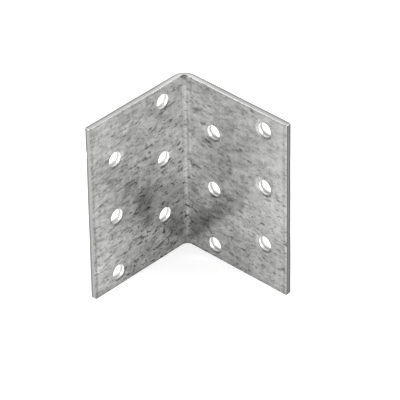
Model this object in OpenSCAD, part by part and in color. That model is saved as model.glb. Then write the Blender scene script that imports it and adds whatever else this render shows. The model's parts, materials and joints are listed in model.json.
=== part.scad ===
// Corner brace bracket: a strip of perforated galvanised sheet folded once to a right angle.
// The fold runs along +Z and the bracket stands on its lower cut edge.
// One leg runs along +X, the other along -Y, and the hollow corner opens towards +X and -Y.
// The origin is the centre of the bounding box, at the lower edge. All lengths are in millimetres.

/* [Sheet] */
// Thickness of the sheet
sheet_t = 2; // [1.2:0.1:3]
// Length of the fold line, which is the height of the bracket
fold_h = 60; // [40:1:160]
// Radius on the inside of the fold
inner_r = 2; // [0.8:0.1:4]
// Rounding that the shear leaves along every cut edge
shear_r = 0.3; // [0.1:0.05:0.5]

/* [Legs] */
// Leg along +X, measured over the outer face of the other leg
leg_x = 41.8; // [36:0.1:120]
// Leg along -Y, measured over the outer face of the other leg
leg_y = 40.8; // [34:0.1:120]

/* [Holes] */
// Diameter of the punched screw holes
hole_d = 4.6; // [3:0.1:8]
// Radius of the rolled lip where the punch went in, on the inner faces
lip_r = 0.25; // [0.1:0.05:0.5]
// Distance between holes, along the fold and across it
hole_pitch = 20; // [15:0.5:40]
// Outer face of the other leg to the first column of holes on the +X leg
column_x = 13.3; // [10:0.1:20]
// Outer face of the other leg to the first column of holes on the -Y leg
column_y = 11.1; // [10:0.1:20]
// Top edge to the first hole of the raised column on the +X leg
row_x = 5.4; // [4.5:0.1:12]
// Top edge to the first hole of the raised column on the -Y leg
row_y = 5.1; // [4.5:0.1:12]

/* [Hidden] */
$fn = 48;
// Outer radius of the fold, whose axis stands this far inside both outer faces
outer_r = inner_r + sheet_t;
hole_r = hole_d / 2;
// Alternate columns stand half a pitch lower, so that their holes fall between those of their neighbours
stagger = hole_pitch / 2;
// Smallest distance from a hole's centre to a cut edge that a column may keep
end_margin = hole_r + lip_r + 2;
// How far the cutting shapes run past the faces they cut
past = 1;
galvanised = [0.66, 0.67, 0.67];

// Number of holes at one pitch in a column that starts a given distance down from the top edge
function row_count(start) = floor((fold_h - start - end_margin) / hole_pitch + 0.001) + 1;

// Number of columns on a leg whose first column is a given distance from its outer face
function column_count(leg, first) = floor((leg - first - end_margin) / hole_pitch + 0.001) + 1;

// Section of the sheet across its thickness and along the fold, rounded where it was sheared
module sheet_section() {
    inset_w = sheet_t - 2 * shear_r;
    inset_h = fold_h - 2 * shear_r;
    translate([shear_r, 0]) square([inset_w, fold_h]);
    translate([0, shear_r]) square([sheet_t, inset_h]);
    for (x = [shear_r, sheet_t - shear_r], y = [shear_r, fold_h - shear_r])
        translate([x, y]) circle(r = shear_r);
}

// Plan of one flat leg from the end of the fold to the leg's cut end, which is rounded on both corners
module leg_plan(length) {
    square([length - shear_r, sheet_t]);
    translate([0, shear_r]) square([length, sheet_t - 2 * shear_r]);
    for (y = [shear_r, sheet_t - shear_r])
        translate([length - shear_r, y]) circle(r = shear_r);
}

// Flat leg along +X from the end of the fold, with its outer face on the plane Y = 0
module flat_leg(length) {
    intersection() {
        translate([0, -sheet_t, 0])
            linear_extrude(height = fold_h) leg_plan(length);
        rotate([90, 0, 90])
            linear_extrude(height = length + past)
                translate([-sheet_t, 0]) sheet_section();
    }
}

// Quarter turn of the sheet round the axis of the fold
module fold() {
    rotate([0, 0, 90])
        rotate_extrude(angle = 90)
            translate([inner_r, 0]) sheet_section();
}

// Punch for one hole along +Z: the bore, and the lip that flares where it meets the plane Z = 0
module punch() {
    flare_r = hole_r + lip_r;
    translate([0, 0, -sheet_t - past])
        cylinder(r = hole_r, h = sheet_t + 2 * past);
    rotate_extrude()
        difference() {
            translate([0, -lip_r]) square([flare_r, lip_r + past]);
            translate([flare_r, -lip_r]) circle(r = lip_r);
        }
}

// Columns of punches for one leg, standing on its inner face, with the lips on that face
module punch_grid(leg, first, row, lowered) {
    for (i = [0 : column_count(leg, first) - 1]) {
        start = row + ((i + lowered) % 2) * stagger;
        for (j = [0 : row_count(start) - 1])
            translate([first + i * hole_pitch, -sheet_t, fold_h - start - j * hole_pitch])
                rotate([90, 0, 0]) punch();
    }
}

// The folded strip with its corner of outer faces at X = 0, Y = 0
module folded_sheet() {
    translate([outer_r, -outer_r, 0]) fold();
    translate([outer_r, 0, 0]) flat_leg(leg_x - outer_r);
    mirror([1, 1, 0])
        translate([outer_r, 0, 0]) flat_leg(leg_y - outer_r);
}

module bracket() {
    color(galvanised)
        translate([-leg_x / 2, leg_y / 2, 0])
            difference() {
                folded_sheet();
                punch_grid(leg_x, column_x, row_x, 1);
                mirror([1, 1, 0]) punch_grid(leg_y, column_y, row_y, 0);
            }
}

bracket();
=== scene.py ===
# %% [markdown]
# # Corner brace bracket
# A strip of galvanised sheet, punched with two columns of holes to a leg and folded once to a right angle.
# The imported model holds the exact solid. This script gives it the sheet that a shop would hand over: sheared
# edges, punched holes with rolled rims, and the dull zinc coat with its short dark streaks. All the shapes are
# worked out on the flat blank first and folded afterwards, which is also the order in which the real one is made.

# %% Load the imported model
import json
import bmesh
import bpy
import numpy as np
from mathutils import Matrix, Vector


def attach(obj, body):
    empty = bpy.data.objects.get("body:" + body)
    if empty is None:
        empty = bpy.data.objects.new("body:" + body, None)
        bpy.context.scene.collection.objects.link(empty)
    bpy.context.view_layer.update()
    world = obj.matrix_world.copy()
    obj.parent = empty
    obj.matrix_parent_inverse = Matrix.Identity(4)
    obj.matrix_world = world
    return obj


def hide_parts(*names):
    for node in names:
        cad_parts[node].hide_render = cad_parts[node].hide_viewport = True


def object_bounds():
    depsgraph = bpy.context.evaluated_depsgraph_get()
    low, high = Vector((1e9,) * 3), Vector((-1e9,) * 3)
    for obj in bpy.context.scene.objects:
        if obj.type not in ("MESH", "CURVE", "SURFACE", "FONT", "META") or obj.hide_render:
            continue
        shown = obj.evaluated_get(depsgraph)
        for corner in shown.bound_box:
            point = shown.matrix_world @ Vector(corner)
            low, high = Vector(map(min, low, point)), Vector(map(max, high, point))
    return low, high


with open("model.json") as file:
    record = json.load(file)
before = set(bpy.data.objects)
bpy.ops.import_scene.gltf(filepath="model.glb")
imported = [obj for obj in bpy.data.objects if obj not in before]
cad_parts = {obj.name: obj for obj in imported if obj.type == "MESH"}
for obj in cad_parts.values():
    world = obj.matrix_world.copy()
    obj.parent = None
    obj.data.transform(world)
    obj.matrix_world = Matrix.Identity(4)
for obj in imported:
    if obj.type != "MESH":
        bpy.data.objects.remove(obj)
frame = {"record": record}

cad_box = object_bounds()
print("solid, mm:", [round(1000 * (b - a), 2) for a, b in zip(*cad_box)])

# %% [markdown]
# ## The camera
# A part like this is photographed with a long lens from in front of its hollow corner and above it. The view
# could be set by eye, but an edge that is one degree out shows at once on such a plain shape. So the camera is
# held as the numbers of a real one: the way it looks, how far it stands, its lens, and the point that it aims at.

# %% Camera
MM = 0.001
AZIMUTH, ELEVATION, LEAN = np.radians([43.731, 35.351, -0.943])
DISTANCE = 1030.0  # mm from the point that it aims at
LENS, SENSOR = 315.21, 36.0  # mm
AIM_ACROSS, AIM_UP = 4.286, -13.608  # mm from the middle of the back corner

low, high = (np.array(corner) / MM for corner in cad_box)
back_corner = np.array([low[0], high[1], (low[2] + high[2]) / 2])


def camera_axes():
    """Right, up and backward of the camera: the direction to it, turned by LEAN about that direction."""
    sa, ca, se, ce = np.sin(AZIMUTH), np.cos(AZIMUTH), np.sin(ELEVATION), np.cos(ELEVATION)
    backward = np.array([sa * ce, -ca * ce, se])
    right, up = np.array([ca, sa, 0]), np.array([-sa * se, ca * se, ce])
    leaning_right = right * np.cos(LEAN) + up * np.sin(LEAN)
    leaning_up = up * np.cos(LEAN) - right * np.sin(LEAN)
    return leaning_right, leaning_up, backward


right, up, backward = camera_axes()
aim = back_corner + AIM_ACROSS * right + AIM_UP * up
camera = bpy.data.objects.new("camera", bpy.data.cameras.new("camera"))
camera.data.lens, camera.data.sensor_width = LENS, SENSOR
turn = Matrix(np.column_stack([right, up, backward]).tolist()).to_4x4()
camera.matrix_world = Matrix.Translation(Vector((aim + DISTANCE * backward) * MM)) @ turn
bpy.context.scene.collection.objects.link(camera)
bpy.context.scene.camera = camera
print("camera at, m:", [round(v, 3) for v in camera.location])

# %% [markdown]
# ## Sizes from the solid
# Every size that the solid knows is read from it, so that the two can't drift apart. The record names each punched
# hole with its centre and radius, and the two faces of a leg give the thickness of the sheet. Only what is too
# fine for the solid has its own values here, further down, next to the step that needs them.

# %% Sizes
record = frame["record"]
mounts = {m["name"]: m for m in record["mounts"]}


def place(name):
    """Centre of a named mount, in millimetres."""
    return np.array(mounts[name]["pos_m"]) / MM


THICK = place("x_leg_outer_face")[1] - place("x_leg_inner_face")[1]
HALF = THICK / 2
INNER_R = 2.0  # inside of the fold, which the record does not name
OUTER_R, MIDDLE_R = INNER_R + THICK, INNER_R + HALF
BEND = MIDDLE_R * np.pi / 2
HEIGHT = high[2] - low[2]
fold_axis = np.array([low[0] + OUTER_R, high[1] - OUTER_R])
END_X = BEND / 2 + high[0] - fold_axis[0]
END_Y = -BEND / 2 - (fold_axis[1] - low[1])
print(f"sheet {THICK:.1f} mm, blank {END_X - END_Y:.1f} x {HEIGHT:.1f} mm")

# %% [markdown]
# ## The flat blank and the fold
# A place on the blank has three numbers: s along the strip, from the middle of the bend, z up the fold line, and n
# through the sheet, -HALF on the outside of the bracket and HALF on its inside. The bend could be a modifier, but a
# short formula gives the same form exactly: the middle of the sheet keeps its length and follows a quarter circle.


# %% Folding
def fold(blank):
    """Blank (s, z, n) to the bracket, in mm. In the bend the middle of the sheet follows a quarter circle of radius
    MIDDLE_R about the fold axis and a point n above it stands at MIDDLE_R - n. Past it, the leg is the tangent."""
    s, z, n = blank[..., 0], blank[..., 1], blank[..., 2]
    bent = np.clip(s, -BEND / 2, BEND / 2)
    angle = (bent / BEND + 0.5) * np.pi / 2
    radial = np.stack([-np.cos(angle), np.sin(angle)], -1)
    tangent = np.stack([np.sin(angle), np.cos(angle)], -1)
    plan = fold_axis + (MIDDLE_R - n)[..., None] * radial + (s - bent)[..., None] * tangent
    return np.concatenate([plan, z[..., None]], -1)


def unrolled(name):
    """Where a punched hole lies on the blank: s from its distance along its leg, and its height."""
    centre = place(name)
    if name.startswith("x_leg"):
        return BEND / 2 + centre[0] - fold_axis[0], centre[2]
    return -BEND / 2 - (fold_axis[1] - centre[1]), centre[2]


holes = {name: unrolled(name) for name, m in mounts.items() if m["kind"] == "bore"}
HOLE_R = mounts["x_leg_near_top_hole"]["dims"]["r_mm"]
print(len(holes), "holes of", 2 * HOLE_R, "mm")

# %% [markdown]
# ## The two faces
# Each face is one grid of s and z. Round every hole a square tile is left out of the grid, so its lines have to
# pass through the edges of all the tiles. Along the strip they start afresh at each edge. Up the strip the two legs
# were punched a little out of step, so the lines slope very slightly from one leg to the other, unseen on a plane.

# %% Grid of the faces
CELL = 0.5  # cell of the flat faces
BEND_CELL = 0.2  # along the strip, in the bend
TILE = 4.0  # half the side of the square left out round a hole
SHEAR_R = 0.3  # rounding that the shear leaves


def lines(stations, step):
    """Evenly spaced values between each station and the next, about one step apart, without the last station."""
    spans = zip(stations, stations[1:])
    return [np.linspace(a, b, max(round((b - a) / step), 1), endpoint=False) for a, b in spans]


def tile_edges(leg):
    """Both edges of every column of tiles on a leg, along s, in order."""
    columns = sorted({round(s, 6) for name, (s, z) in holes.items() if name.startswith(leg)})
    return [s + side * TILE for s in columns for side in (-1, 1)]


def first_line(leg):
    """Height of the lowest line on a leg whose lines pass through the edges of all its tiles."""
    row = min(z for name, (s, z) in holes.items() if name.startswith(leg))
    return SHEAR_R + (row - TILE - SHEAR_R) % CELL


y_stations = [END_Y + SHEAR_R] + tile_edges("y_leg") + [-BEND / 2]
x_stations = [BEND / 2] + tile_edges("x_leg") + [END_X - SHEAR_R]
bend_lines = lines([-BEND / 2, BEND / 2], BEND_CELL)
s_lines = np.concatenate(lines(y_stations, CELL) + bend_lines + lines(x_stations, CELL) + [[END_X - SHEAR_R]])
starts = np.interp(s_lines, [y_stations[-2], x_stations[1]], [first_line("y_leg"), first_line("x_leg")])
rows = int((HEIGHT - SHEAR_R - starts.max()) / CELL) + 1
inside = starts[:, None] + CELL * np.arange(rows)
edge = np.full((len(s_lines), 1), SHEAR_R)
grid_z = np.concatenate([edge, inside, HEIGHT - edge], 1)
grid_s = np.broadcast_to(s_lines[:, None], grid_z.shape)
print("lines along and up the strip:", grid_s.shape)

# %% [markdown]
# ## Collecting the surface
# Every part of the surface is a grid of points, so one helper turns a grid into four-sided faces, by adding row
# and column numbers in whole arrays. A hole goes right round, so its grid can close on itself. The grids only
# touch along their edges, and are welded into one skin at the end.

# %% Grids to faces
points, quads = [], []


def add_grid(grid, keep=None, flip=False, closed=False):
    """Adds a grid (rows, columns, 3) of blank points with a face in each cell, except where keep is False."""
    start = sum(len(p) for p in points)
    number = start + np.arange(grid.shape[0] * grid.shape[1]).reshape(grid.shape[:2])
    if closed:
        number = np.concatenate([number, number[:1]])
    cell = np.stack([number[:-1, :-1], number[1:, :-1], number[1:, 1:], number[:-1, 1:]], -1)
    cell = cell[keep] if keep is not None else cell.reshape(-1, 4)
    points.append(grid.reshape(-1, 3))
    quads.append(cell[:, ::-1] if flip else cell)


def cell_middles(grid):
    """Mean of the four corners of every cell."""
    return grid[:-1, :-1] / 4 + grid[1:, :-1] / 4 + grid[:-1, 1:] / 4 + grid[1:, 1:] / 4


middle_s, middle_z = cell_middles(grid_s), cell_middles(grid_z)
in_tile = np.zeros(middle_s.shape, bool)
for s, z in holes.values():
    in_tile |= (abs(middle_s - s) < TILE) & (abs(middle_z - z) < TILE)

for n in (HALF, -HALF):
    add_grid(np.stack([grid_s, grid_z, np.full(grid_s.shape, n)], -1), ~in_tile, flip=n > 0)
print("cells of a face:", int((~in_tile).sum()))

# %% [markdown]
# ## Punched holes
# The punch comes in from the inside of the bracket. It drags the face down into a shallow dish, rolls the rim over,
# shears a bright straight wall, and breaks through the last part, which tears a little wider. A boolean would
# leave a plain sharp hole, so here the whole hole is one profile carried round: it starts on the square edge of
# its tile, draws in to a circle, goes down the wall and opens out to the square on the other face.

# %% Hole profile
LIP_R = 0.15  # rounding of the rim
DISH_R, DISH = 0.85, 0.07  # width and depth of the dish round it
WALL_FROM = 0.2  # n of the first ring of the plain wall
BREAK_AT, BREAK_OUT = -0.5, 0.1  # n where the wall starts to tear, and how much wider it gets
STEP_OUT = 0.1  # a narrow ring at each turn keeps it crisp
RING_OUT = 0.5  # a wider one round the torn rim
SIDE = round(2 * TILE / CELL)


def hole_profile():
    """Rings of a hole as (radius, n, squareness): the dish falls along a smooth step from DISH_R outside the rim,
    the rim is a quarter circle of LIP_R, the wall is straight down to BREAK_AT and then leans out by BREAK_OUT."""
    rim = HOLE_R + LIP_R
    flat = [(rim + DISH_R, HALF, w) for w in (1, 0.8, 0.6, 0.4, 0.2)]
    t = np.linspace(0, 1, 7)[:-1]
    dish = [(rim + DISH_R * (1 - u), HALF - DISH * u * u * (3 - 2 * u), 0) for u in t]
    turn = np.linspace(0, np.pi / 2, 6)
    top = HALF - DISH - LIP_R
    lip = [(rim - LIP_R * np.sin(a), top + LIP_R * np.cos(a), 0) for a in turn]
    torn_r = HOLE_R + BREAK_OUT
    wall = [(HOLE_R, WALL_FROM, 0), (HOLE_R, BREAK_AT, 0), (HOLE_R + 0.6 * BREAK_OUT, BREAK_AT - STEP_OUT, 0)]
    out = [(torn_r, -HALF, 0), (torn_r + STEP_OUT, -HALF, 0), (rim + RING_OUT, -HALF, 0)]
    square = [(rim + DISH_R, -HALF, w) for w in (0, 0.25, 0.5, 0.75, 1)]
    return np.array(flat + dish + lip + wall + out + square)


def punched_hole(s, z):
    """The profile carried round (s, z). Going round, a circle at even angles and a square at even steps along its
    sides are mixed by the squareness of each ring."""
    t = np.linspace(-1, 1, SIDE, endpoint=False)
    one = np.ones(SIDE)
    square = np.concatenate([np.stack(p, -1) for p in ((one, t), (-t, one), (-one, -t), (t, -one))])
    angle = np.concatenate([np.pi / 4 * (t + 2 * side) for side in range(4)])
    circle = np.stack([np.cos(angle), np.sin(angle)], -1)
    radius, n, w = (v[None, :, None] for v in hole_profile().T)
    plan = (1 - w) * radius * circle[:, None] + w * TILE * square[:, None] + (s, z)
    return np.concatenate([plan, np.broadcast_to(n, plan.shape[:2] + (1,))], -1)


for s, z in holes.values():
    add_grid(punched_hole(s, z), closed=True)
print("rings of a hole:", len(hole_profile()))

# %% [markdown]
# ## Sheared edges
# All four edges of the blank were sheared. The blade rounds the face that it enters, wipes the first part of the
# cut bright, and tears the rest, which stays duller and slightly hollow. This is again one profile, carried along
# the border of the face grid, so each of its points leaves from a point that the face already has.

# %% Edge profile
WIPE_FROM, TEAR_AT, TEAR_TO = 0.4, 0.1, -0.35  # n where the wiped and the torn part start, and where the last ends
TEAR_IN, TEAR_STEP = 0.07, 0.1  # how deep the torn part lies, and over how much n it falls


def edge_profile():
    """Rings of the edge as (inset from the edge, n): a quarter circle of SHEAR_R, a straight wiped wall, a torn one
    that lies TEAR_IN deeper, and a quarter circle again."""
    turn = np.linspace(0, np.pi / 2, 6)
    enter = [(SHEAR_R * (1 - np.sin(a)), HALF - SHEAR_R * (1 - np.cos(a))) for a in turn]
    cut = [(0, WIPE_FROM), (0, TEAR_AT), (TEAR_IN, TEAR_AT - TEAR_STEP), (TEAR_IN, TEAR_TO)]
    leave = [(max(SHEAR_R * (1 - np.cos(a)), TEAR_IN), -HALF + SHEAR_R * (1 - np.sin(a))) for a in turn]
    return np.array(enter + cut + leave)


def sheared_edge():
    """The border of the grid, point by point, moved outwards by SHEAR_R less the inset of each ring."""
    foot, top = (slice(None), 0), (slice(None, None, -1), -1)
    x_side, y_side = (-1, slice(None)), (0, slice(None, None, -1))
    sides = [(foot, (0.0, -1.0)), (x_side, (1.0, 0.0)), (top, (0.0, 1.0)), (y_side, (-1.0, 0.0))]
    border = [(np.stack([grid_s[where], grid_z[where]], -1)[:-1], way) for where, way in sides]
    loop = np.concatenate([line for line, way in border])
    out = np.concatenate([np.tile(way, (len(line), 1)) for line, way in border])
    corner = np.cumsum([0] + [len(line) for line, way in border[:-1]])
    out[corner] += out[corner - 1]
    inset, n = (v[None, :, None] for v in edge_profile().T)
    plan = loop[:, None] + out[:, None] * (SHEAR_R - inset)
    return np.concatenate([plan, np.broadcast_to(n, plan.shape[:2] + (1,))], -1)


add_grid(sheared_edge(), closed=True, flip=True)
print("rings of the edge:", len(edge_profile()))

# %% [markdown]
# ## Handling
# No sheet is quite flat. Rolling leaves waves of a few hundredths of a millimetre, which are what makes a dull
# metal shimmer, the bend draws the outside of the edge in, the shear presses the inner face down a little at both
# ends, and one end of this strip has a small nick. A sculpt brush could do it by eye. Here each fault is a small
# shift of the blank, added before the fold, so they stay on the metal when its sizes change.

# %% Waves, draw and nick
WAVE = 0.02  # height of each of two waves
WAVE_S, WAVE_Z, SLANT = 0.37, 0.29, 0.16  # how fast they turn, in radians per mm
START = 1.3  # where the second one starts, in radians
MEANDER, MEANDER_Z = 0.9, 0.11  # how the first one snakes up the sheet
FALL, FALL_WIDE = 0.07, 1.4  # how far the inner face falls off at both ends, and over what width
DRAW, DRAW_FROM, DRAW_WIDE = 0.14, 0.9, 2.2  # how far the fold draws the edge in, and where
NICK_AT, NICK_LONG, NICK_DEEP, NICK_REACH = 50.4, 1.3, 0.22, 1.5  # the nick in one end


def handled(blank):
    """Blank points with their small faults: n gains a sum of slow sines and falls off by a parabola at both ends,
    z shrinks towards the middle of the bend on the outside of the fold, and s moves in by a hump at the nick."""
    s, z, n = blank[:, 0], blank[:, 1], blank[:, 2]
    snaking = np.sin(WAVE_S * s + MEANDER * np.sin(MEANDER_Z * z))
    wave = WAVE * (snaking + np.sin(WAVE_Z * z - SLANT * s + START))
    from_end = np.minimum(END_X - s, s - END_Y)
    fallen = FALL * np.clip(1 - from_end / FALL_WIDE, 0, 1) ** 2 * np.clip(n, 0, 1)
    outside = np.clip((HALF - n) / THICK, 0, 1)
    near_edge = np.clip(abs(z / HEIGHT - 0.5) * 2 - DRAW_FROM, 0, None) / (1 - DRAW_FROM)
    drawn = -np.sign(z - HEIGHT / 2) * DRAW * outside * near_edge ** 2 * np.exp(-(s / DRAW_WIDE) ** 2)
    hump = np.exp(-((z - NICK_AT) / NICK_LONG) ** 4) * np.clip(1 - (s - END_Y) / NICK_REACH, 0, 1)
    nick = NICK_DEEP * hump * np.clip(-n, 0, 1)
    return np.stack([s + nick, z + drawn, n + wave + 2 * WAVE - fallen], -1)


print("the faces wave by up to", 4 * WAVE, "mm, and only towards the inside")

# %% [markdown]
# ## Welding and folding
# Points that lie in the same place are merged while the blank is still flat, and only then is every point folded.
# The flat place of each point is kept as an attribute named blank. The zinc is painted by it, because streaks
# that came with the strip run round the bend with the metal.

# %% One closed skin
bracket = bpy.data.objects.new("folded_sheet", bpy.data.meshes.new("folded_sheet"))
bpy.context.scene.collection.objects.link(bracket)
skin = bracket.data
skin.from_pydata(np.concatenate(points).tolist(), [], np.concatenate(quads).tolist())

WELD = 0.001  # points nearer than this, in mm, are one
welded = bmesh.new()
welded.from_mesh(skin)
bmesh.ops.remove_doubles(welded, verts=welded.verts, dist=WELD)
print("open edges:", sum(not e.is_manifold for e in welded.edges))
welded.to_mesh(skin)
welded.free()

flat = np.empty(3 * len(skin.vertices), np.float32)
skin.vertices.foreach_get("co", flat)
skin.attributes.new("blank", "FLOAT_VECTOR", "POINT").data.foreach_set("vector", flat)
shape = fold(handled(flat.reshape(-1, 3).astype(float))) * MM
skin.vertices.foreach_set("co", shape.ravel().astype(np.float32))
SHARP = 38  # degrees, past which an edge is drawn crisp
skin.shade_smooth()
skin.set_sharp_from_angle(angle=np.radians(SHARP))
skin.update()

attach(bracket, "root")
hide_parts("bracket")
triangles = sum(len(p.vertices) - 2 for p in skin.polygons)
print("folded sheet:", len(skin.vertices), "points,", triangles, "triangles")

# %% [markdown]
# ## Zinc: a small kit for wiring nodes
# A material is a graph, and a graph is easier to read as sums than as a list of links. Each helper below adds one
# node or a few and returns the output, so that the finish can be written from the inside out.

# %% Node helpers
zinc = bpy.data.materials.new("galvanised_steel")
zinc.use_nodes = True
tree = zinc.node_tree
shader = tree.nodes["Principled BSDF"]


def wire(socket, value):
    """Gives a socket either another node's output or a plain value."""
    if isinstance(value, bpy.types.NodeSocket):
        tree.links.new(value, socket)
    else:
        socket.default_value = value


def maths(operation, *values):
    """One Math node."""
    made = tree.nodes.new("ShaderNodeMath")
    made.operation = operation
    for socket, value in zip(made.inputs, values):
        wire(socket, value)
    return made.outputs[0]


def vector_maths(operation, *values):
    """One Vector Math node. A length and a dot product are numbers, and the others are vectors."""
    made = tree.nodes.new("ShaderNodeVectorMath")
    made.operation = operation
    for socket, value in zip(made.inputs, values):
        wire(socket, value)
    return made.outputs["Value" if operation in ("LENGTH", "DOT_PRODUCT") else "Vector"]


def plus(total, *others):
    """All values added up."""
    for other in others:
        total = maths("ADD", total, other)
    return total


def times(total, *others):
    """All values multiplied."""
    for other in others:
        total = maths("MULTIPLY", total, other)
    return total


def one_less(value):
    """What a value leaves of 1."""
    return maths("SUBTRACT", 1.0, value)


print("shader:", shader.name)

# %% [markdown]
# ## Zinc: steps, bands and grain
# Nearly all of the finish is made of three things: a smooth step from one value to another, a band round a line,
# and a noise that is drawn out along the strip. A colour ramp could draw the steps, but a smooth step with both
# ends named says in one line where it starts and ends. All of them read the flat place on the blank, in mm.

# %% Steps, bands and grain
attribute = tree.nodes.new("ShaderNodeAttribute")
attribute.attribute_name = "blank"
on_blank = attribute.outputs["Vector"]
parts = tree.nodes.new("ShaderNodeSeparateXYZ")
wire(parts.inputs[0], on_blank)
along, height, depth = parts.outputs


def ramp(value, start, end, low=0.0, high=1.0):
    """A smooth step from low at start to high at end."""
    made = tree.nodes.new("ShaderNodeMapRange")
    made.interpolation_type = "SMOOTHSTEP"
    for socket, given in zip(made.inputs, (value, start, end, low, high)):
        wire(socket, given)
    return made.outputs[0]


def near(value, middle, reach, core, low=0.0, high=1.0):
    """A soft band: high where value is within core of middle, and low from reach on."""
    return ramp(maths("ABSOLUTE", maths("SUBTRACT", value, middle)), reach, core, low, high)


def mixed(cover, under, over):
    """under where cover is 0, over where it is 1."""
    made = tree.nodes.new("ShaderNodeMix")
    for socket, value in zip((made.inputs[0], made.inputs[2], made.inputs[3]), (cover, under, over)):
        wire(socket, value)
    return made.outputs[0]


def placed(vector, centre, size, turn=0.0):
    """A vector on the blank as seen from a patch: 0 at its centre, 1 at its size from there, turned with it."""
    made = tree.nodes.new("ShaderNodeMapping")
    made.vector_type = "TEXTURE"
    for name, value in (("Vector", vector), ("Location", centre), ("Rotation", (0, 0, turn)), ("Scale", size)):
        wire(made.inputs[name], value)
    return made.outputs[0]


def noise(vector, scale):
    """One Noise Texture node."""
    made = tree.nodes.new("ShaderNodeTexNoise")
    wire(made.inputs["Vector"], vector)
    made.inputs["Scale"].default_value = scale
    return made


def grain(length, width, detail, roughness=0.55, seed=0.0, turn=0.0):
    """Noise on the blank, in mm: about length along the strip and width across it, between 0 and 1."""
    made = noise(placed(on_blank, (seed, seed * 1.7, seed * 0.6), (length, width, 1.0), turn), 1.0)
    made.inputs["Detail"].default_value = detail
    made.inputs["Roughness"].default_value = roughness
    return made.outputs["Fac"]


def swing(cloud, amount, low=0.3, high=0.7):
    """A noise that swings by amount to both sides of 0."""
    return ramp(cloud, low, high, -amount, amount)


print("blank read as:", [output.name for output in parts.outputs])

# %% [markdown]
# ## Zinc: tone
# Dipped zinc dulls to a mottled grey. It has clouds a centimetre across, faint runs down the sheet, and a fine grain
# drawn out along the strip, which is weaker high up and towards the free end of the longer leg. An image would be
# simpler to make, but it would blur close up and stretch at the bend, and noise does neither.

# %% Tone of the zinc
TONE = 0.389  # grey of the plain zinc
clouds = swing(grain(13, 10, detail=2, seed=3.1), 0.05)
mottle = swing(grain(3.3, 1.9, detail=3, seed=7.7), 0.2)
fine = swing(grain(1.5, 0.8, detail=3, roughness=0.7, seed=1.2, turn=0.05), 0.22, 0.28, 0.72)
drips = swing(grain(0.7, 14, detail=1, seed=5.5), 0.04)
calm = times(ramp(along, 34.0, 10.0, 0.7, 1.05), ramp(height, 55.0, 5.0, 0.9, 1.14))
light = plus(clouds, drips, times(plus(mottle, fine), calm))
print("tone with", len(tree.nodes), "nodes")

# %% [markdown]
# ## Zinc: short dark dashes
# Where the coat is thin, the sheet shows short dark dashes and still shorter flecks. They could be painted one by
# one, but there are hundreds. The tops of a drawn-out noise look the same: only what rises over a threshold shows.
# They crowd on the shorter leg beside the bend, and low down.

# %% Dashes and flecks
THIN_COAT = 0.62  # how much of the light a dash takes at its middle
dashes = ramp(grain(2.3, 1.1, detail=1.5, seed=9.4, turn=0.05), 0.607, 0.7, 0.0, THIN_COAT)
flecks = ramp(grain(1.35, 0.75, detail=1.0, seed=14.2, turn=-0.1), 0.63, 0.73, 0.0, THIN_COAT)
crowd = times(near(along, -10.0, 22.0, 8.0, 0.66, 1.12), ramp(height, 55.0, 5.0, 0.8, 1.28))
print("dashes and flecks bring it to", len(tree.nodes), "nodes")

# %% [markdown]
# ## Zinc: the marks that stand out
# Noise gives the general run of dashes, but a person knows a piece by its few bold marks and by its broad patches.
# The patches are partly tarnish and partly painted shade and painted light: darker low down and in a wedge up each
# leg from the corner, lighter high up and near the bend. Three of the bold marks are painted shade too, below two
# holes and in the top of the bend. Each is a soft ellipse on the blank with its edge broken up by noise. Both lists
# were matched to one real piece, and hold only what is seen at arm's length.

# %% Bold marks and patches
WOBBLE_S, WOBBLE_Z = 1.3, 0.7  # mm by which the noise moves an edge
wobble = vector_maths("SUBTRACT", noise(on_blank, 1.6).outputs["Color"], (0.5, 0.5, 0.5))
ragged = vector_maths("MULTIPLY_ADD", wobble, (WOBBLE_S, WOBBLE_Z, 0.0), on_blank)


def mark(s, z, length, width, lean, dark, core=0.45):
    """A soft ellipse on the inner face: full within its core, gone at its border, at lean degrees to the strip."""
    seen = placed(ragged, (s, z, HALF), (length / 2, width / 2, 1.0), np.radians(lean))
    return ramp(vector_maths("LENGTH", seen), 1.0, core, 0.0, dark)


def darkest(marks):
    """The largest of several marks, taken two by two."""
    while len(marks) > 1:
        pairs = [marks[i:i + 2] for i in range(0, len(marks), 2)]
        marks = [maths("MAXIMUM", *pair) if len(pair) == 2 else pair[0] for pair in pairs]
    return marks[0]
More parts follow.
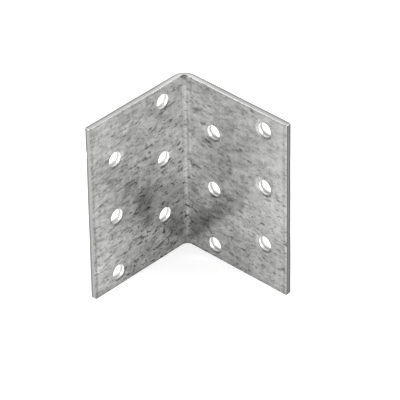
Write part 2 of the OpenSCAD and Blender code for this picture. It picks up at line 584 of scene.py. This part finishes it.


# s, z, length and width in mm, lean in degrees, darkness
# three rows are painted shade: the ones at (11.9, 21.9) and (-9.7, 32.2) below two holes, and the round one at (0.0,
# 59.3) in the top of the bend
STREAKS_AND_SHADE = [
    (-11.6, 5.3, 4.6, 1.7, 23, 0.65), (5.7, 50.0, 5.6, 1.6, 20, 0.41), (-6.8, 52.1, 7.6, 1.3, 7, 0.50),
    (-24.0, 33.9, 5.2, 1.1, -3, 0.50), (9.3, 40.7, 3.4, 1.5, -14, 0.65), (-2.6, 56.6, 3.4, 1.5, 4, 0.39),
    (-8.0, 2.1, 4.6, 1.7, -16, 0.41), (-2.2, 27.3, 2.0, 1.7, -44, 0.59), (-18.6, 14.5, 4.8, 1.3, 24, 0.35),
    (22.4, 43.4, 2.4, 1.6, -9, 0.59), (30.8, 21.4, 2.6, 1.2, 9, 0.68), (-20.2, 45.1, 4.0, 1.2, -10, 0.42),
    (7.7, 45.9, 2.4, 1.5, 0, 0.42), (-15.7, 57.1, 3.0, 1.2, 3, 0.41), (-30.0, 53.3, 2.6, 1.2, -5, 0.52),
    (25.0, 7.1, 4.4, 1.1, 52, 0.42), (25.8, 40.9, 3.0, 1.2, 2, 0.47), (-35.8, 31.9, 3.0, 1.1, 2, 0.50),
    (-13.0, 12.2, 1.9, 1.6, 0, 0.53), (38.8, 9.0, 2.4, 1.2, 20, 0.50), (-24.5, 10.8, 2.5, 1.3, -14, 0.47),
    (-17.0, 38.8, 2.3, 1.7, -34, 0.52), (-9.6, 30.8, 4.4, 1.0, -5, 0.47), (36.9, 32.5, 2.1, 1.2, -10, 0.54),
    (18.1, 37.7, 2.0, 1.3, 9, 0.47), (-2.3, 19.0, 2.6, 1.0, -14, 0.53), (31.2, 6.4, 2.6, 1.2, -6, 0.47),
    (-30.5, 56.8, 1.6, 1.5, 10, 0.47), (27.0, 59.0, 2.4, 1.1, 5, 0.53), (17.0, 53.6, 2.6, 1.2, 8, 0.35),
    (11.9, 21.9, 2.9, 1.0, 0, 0.65), (-9.7, 32.2, 2.8, 0.9, 0, 0.59), (0.0, 59.3, 2.4, 2.2, 0, 0.55),
    (2.8, 56.4, 7.0, 1.5, 88, 0.30),
]
# the same, and the share of the ellipse that is full; a patch of negative darkness is lighter
# partly tarnish and partly painted shade and painted light: the dark patches low on the legs and in a wedge up each
# leg from the corner are painted shade, and the lighter ones high up and near the bend are painted light
TARNISH_AND_SHADING = [
    (-18.0, 24.0, 12.0, 8.0, 80, 0.24, 0.5), (-16.6, 24.5, 22.0, 14.0, 86, 0.22, 0.1),
    (-16.9, 16.4, 7.0, 7.6, -39, 0.36, 0.1), (-7.0, 6.0, 12.0, 4.0, -35, 0.14, 0.1),
    (7.6, 9.3, 17.4, 4.4, 51, 0.33, 0.1), (15.6, 19.8, 34.0, 9.4, 46, 0.33, 0.15),
    (-0.6, 35.3, 58.0, 86.0, 36, -0.28, 0.1), (-27.6, 24.2, 58.0, 31.0, -62, 0.21, 0.1),
    (-5.3, -2.4, 130.0, 46.6, 7, 0.34, 0.1), (36.0, 12.5, 28.0, 21.0, -74, 0.18, 0.1),
    (3.2, 52.9, 37.0, 20.0, -9, -0.18, 0.1), (8.0, 19.4, 22.5, 15.2, 83, -0.12, 0.1),
    (0.0, 11.0, 9.0, 7.0, 90, -0.16, 0.1), (-7.5, 22.5, 14.0, 17.0, 0, 0.17, 0.1),
    (23.0, 10.0, 17.0, 14.0, 0, 0.12, 0.1), (-14.5, 46.0, 13.0, 16.0, 0, -0.12, 0.1),
    (11.0, 57.0, 12.0, 8.0, 0, -0.12, 0.1), (-15.0, 23.0, 12.0, 6.0, 80, 0.11, 0.3),
    (8.0, 13.5, 13.0, 6.0, 50, 0.13, 0.35), (17.4, 42.0, 46.0, 3.6, 90, 0.07, 0.4),
]
streaks_and_shade = darkest([mark(*row) for row in STREAKS_AND_SHADE])
tarnish_and_shading = plus(*[mark(*row) for row in TARNISH_AND_SHADING])
dark = maths("MAXIMUM", times(maths("MAXIMUM", dashes, flecks), crowd), streaks_and_shade)
print(len(STREAKS_AND_SHADE), "streaks,", len(TARNISH_AND_SHADING), "patches of tarnish")

# %% [markdown]
# ## Zinc: round the holes
# Below each hole the dished face turns away from the light, and a dark arc of painted shade is laid there. On the
# side towards the bend a painted highlight stands for the light that the dish catches. Ambient occlusion could give
# such a shade, but not on one side only, so each hole gets half a soft ring of either kind.

# %% Painted shade and highlight beside the holes
# painted shade below each hole, and a painted highlight beside it
SHADE_OUT, SHADE_WIDE, SHADE = 0.5, 0.45, 0.52  # mm past the rim, half width in mm, and strength
HIGHLIGHT_OUT, HIGHLIGHT_WIDE = 0.8, 0.8
HIGHLIGHT_NEAR, HIGHLIGHT_FAR = 0.1, 0.3  # strength near the bend and at the far end of the longer leg


def beside_hole(s, z, toward, out, half_width):
    """A soft ring round the hole at (s, z), out mm past its rim, kept only on the side that toward points to. The
    patch is so thin through the sheet that the ring stays on the inner face."""
    seen = placed(ragged, (s, z, HALF), (1.0, 1.0, 0.1))
    away = vector_maths("LENGTH", seen)
    facing = maths("DIVIDE", vector_maths("DOT_PRODUCT", seen, (*toward, 0.0)), away)
    return times(near(away, HOLE_R + out, half_width, half_width * 0.3), ramp(facing, 0.45, 0.9))


shades = [beside_hole(s, z, (0.35, -0.94), SHADE_OUT, SHADE_WIDE) for s, z in holes.values()]
highlights = [beside_hole(s, z, (-np.sign(s) * 0.98, 0.2), HIGHLIGHT_OUT, HIGHLIGHT_WIDE) for s, z in holes.values()]
rim_shade = times(darkest(shades), SHADE)
rim_highlight = times(darkest(highlights), ramp(along, 5.0, 35.0, HIGHLIGHT_NEAR, HIGHLIGHT_FAR))
print(len(shades), "shades and", len(highlights), "highlights")

# %% [markdown]
# ## Zinc: where the sheet was cut
# The walls of the holes and the four edges have no mottled coat. They lie well inside the sheet, so the depth on
# the blank finds them all, and the distance to each side tells the edges from the holes. Separate materials on
# picked faces would do as well, but could not fade into each other. A little noise breaks the line where the metal
# tore.

# %% Cut metal
RIM_FROM, RIM_TO = 0.34, 0.26  # mm from a side of the blank: from face to edge
cut = near(depth, 0.0, 0.9, 0.8)
broken = plus(depth, swing(grain(0.6, 0.6, detail=3, seed=2.2), 0.06))
x_end = ramp(along, END_X - RIM_FROM, END_X - RIM_TO)
y_end = ramp(along, END_Y + RIM_FROM, END_Y + RIM_TO)
from_middle = maths("ABSOLUTE", maths("SUBTRACT", height, HEIGHT / 2))
long_edge = ramp(from_middle, HEIGHT / 2 - RIM_FROM, HEIGHT / 2 - RIM_TO)
in_hole = one_less(maths("MAXIMUM", long_edge, maths("MAXIMUM", x_end, y_end)))
print("cut metal brings it to", len(tree.nodes), "nodes")

# %% [markdown]
# ## Zinc: tone of the cut metal
# Wiped metal is bright and torn metal is dull. In a hole both lips are bright, with a duller groove between them.
# The two long edges were slit by sharp rollers and are bright at both sides of a thin dull line, a little more so
# near the bend, with painted shade where they are pinched on its inside. The ends were cropped off last and are
# mostly torn and dark. Each tone is a multiple of the plain zinc's.

# %% Tone of the cut metal
WIPED = 2.3
groove = times(ramp(broken, 0.27, 0.17), ramp(broken, -0.66, -0.54))
hole_tone = mixed(groove, WIPED, ramp(along, -5.0, 5.0, 1.3, 1.08))
torn = ramp(broken, -0.4, -0.55)
# painted shade in the pinched inner corner of the bend, on the long edges
pinch_shade = times(near(along, 0.0, 1.3, 0.4), ramp(depth, 0.35, 0.7))
bend_gleam = maths("SUBTRACT", near(along, 0.0, 14.0, 3.0, 1.0, 1.3), pinch_shade)
long_tone = times(near(broken, -0.4, 0.4, 0.1, 1.75, 0.95), bend_gleam)
x_end_tone = ramp(broken, -0.42, -0.52, 0.26, 0.18)
y_end_tone = ramp(broken, -0.05, -0.25, 0.7, 0.46)
end_tone = mixed(y_end, mixed(x_end, hole_tone, x_end_tone), y_end_tone)
cut_tone = mixed(long_edge, end_tone, long_tone)
print("their tones bring it to", len(tree.nodes), "nodes")

# %% [markdown]
# ## Zinc: the bend, the ends and the foot
# The bend is painted darker, as shade that tones down the bright band that its curve mirrors, and two painted
# highlights are left on it: one up its middle and one beside it, where it meets the longer leg. Along the two ends a
# narrow dull line shows where the strip was held, and along the foot a narrow line is darker. The outer faces are
# painted darker all over, as shade. Depth keeps the two faces apart.

# %% Tone of the bend and the borders
# painted shade over the bend, with two painted highlight lines taken off it
bend_shade = near(along, 0.0, 2.3, 0.9, 0.0, ramp(height, 10.0, 28.0, 0.32, 0.43))
bend_side_highlight = times(near(along, 2.2, 1.0, 0.2, 0.0, 0.2), ramp(height, 2.0, 27.0))
bend_middle_highlight = near(along, 0.15, 0.65, 0.1, 0.0, ramp(height, 10.0, 40.0, 0.17, 0.06))
bend = maths("SUBTRACT", bend_shade, plus(bend_side_highlight, bend_middle_highlight))
x_line = near(along, END_X - 0.9, 0.7, 0.2, 0.0, 0.24)
y_line = near(along, END_Y + 0.4, 1.0, 0.3, 0.0, 0.3)
foot_line = ramp(height, 1.7, 0.6, 0.0, ramp(along, 3.0, -5.0, 0.04, 0.14))
inner = times(plus(bend, plus(maths("MAXIMUM", x_line, y_line), foot_line)), ramp(depth, 0.6, 0.9))
# painted shade: the outer faces are darker all over
outer = times(ramp(depth, -0.6, -0.9), 0.3)
print("bend and borders bring it to", len(tree.nodes), "nodes")

# %% [markdown]
# ## Zinc: the whole finish
# Each share that takes light away leaves the rest of it, so the shares are multiplied, as one stain over another.
# A shader that is all metal mirrors the room too plainly, and one that is all paint not at all. Old zinc is between
# the two: three quarters metal, rougher where it is mottled, with a grain about a hundredth of a millimetre high.

# %% Finish
METAL = 0.75
TINT = (1.0, 1.0, 0.985)  # zinc is very slightly warm
BUMP, BUMP_STRENGTH = 0.02, 0.5  # mm
face_tone = times(
    plus(1.0, light), one_less(dark), one_less(tarnish_and_shading), plus(1.0, maths("SUBTRACT", rim_highlight, rim_shade)),
    one_less(plus(inner, outer)), one_less(times(long_edge, 0.25)))
tone = times(mixed(cut, face_tone, cut_tone), TONE)
colour = tree.nodes.new("ShaderNodeCombineColor")
for socket, tint in zip(colour.inputs, TINT):
    wire(socket, times(tone, tint))
wire(shader.inputs["Base Color"], colour.outputs[0])
shader.inputs["Metallic"].default_value = METAL

face_rough = plus(0.34, times(mottle, 0.4))
cut_rough = plus(0.28, times(maths("MAXIMUM", torn, long_edge), 0.2))
cut_rough = mixed(times(groove, in_hole), cut_rough, 0.75)
wire(shader.inputs["Roughness"], mixed(cut, face_rough, cut_rough))

bump = tree.nodes.new("ShaderNodeBump")
bump.inputs["Strength"].default_value = BUMP_STRENGTH
bump.inputs["Distance"].default_value = BUMP * MM
wire(bump.inputs["Height"], plus(times(fine, 3.0), times(dark, -2.0)))
wire(shader.inputs["Normal"], bump.outputs[0])
skin.materials.append(zinc)
print("zinc:", len(tree.nodes), "nodes")

# %% [markdown]
# ## Floor
# Metal shows its form by what it mirrors. Here that is the floor low down on both legs, and the other leg near the
# bend. Plain paper under soft lamps would come out grey, so this one is lit a little from within, as a light table
# is, which also leaves almost no shadow.

# %% Floor
FLOOR_HALF = 2.0  # m
GLOW = 0.58
floor_mesh = bpy.data.meshes.new("floor")
corners = [(x * FLOOR_HALF, y * FLOOR_HALF, 0) for x, y in ((-1, -1), (1, -1), (1, 1), (-1, 1))]
floor_mesh.from_pydata(corners, [], [(0, 1, 2, 3)])
floor = bpy.data.objects.new("floor", floor_mesh)
bpy.context.scene.collection.objects.link(floor)
paper = bpy.data.materials.new("white_paper")
paper.use_nodes = True
sheet_of_light = paper.node_tree.nodes["Principled BSDF"]
sheet_of_light.inputs["Base Color"].default_value = (0.9, 0.9, 0.9, 1)
sheet_of_light.inputs["Roughness"].default_value = 0.9
sheet_of_light.inputs["Emission Color"].default_value = (1, 1, 1, 1)
sheet_of_light.inputs["Emission Strength"].default_value = GLOW
floor_mesh.materials.append(paper)
print("floor:", 2 * FLOOR_HALF, "m square")

# %% [markdown]
# ## Light
# An even white sky gives most of the light. Three large square lamps add the slow fall in tone from the free ends
# to the bend: one to the left, one behind on the right, and a weak low one in front, which reaches into the holes.
# A single lamp overhead would leave the inside of the corner black.

# %% Light
SKY = 0.6
LAMP_SIZE = 0.9  # m
MIDDLE = Vector((0, 0, 0.03))
world = bpy.data.worlds.new("studio")
bpy.context.scene.world = world
world.use_nodes = True
world.node_tree.nodes["Background"].inputs["Color"].default_value = (1, 1, 1, 1)
world.node_tree.nodes["Background"].inputs["Strength"].default_value = SKY


def softbox(name, spot, energy):
    """A square soft lamp that faces the middle of the bracket, energy in watts."""
    lamp = bpy.data.objects.new(name, bpy.data.lights.new(name, "AREA"))
    lamp.data.shape, lamp.data.size, lamp.data.energy = "SQUARE", LAMP_SIZE, energy
    lamp.location = spot
    lamp.rotation_euler = (lamp.location - MIDDLE).to_track_quat("Z", "Y").to_euler()
    bpy.context.scene.collection.objects.link(lamp)


softbox("left", (-1.0, -1.0, 0.9), 20.0)
softbox("right", (1.0, 0.9, 0.9), 15.0)
softbox("low_front", (1.1, -1.15, 0.25), 8.0)
bpy.context.scene.view_settings.view_transform = "Standard"
print("lamps:", len(bpy.data.lights))
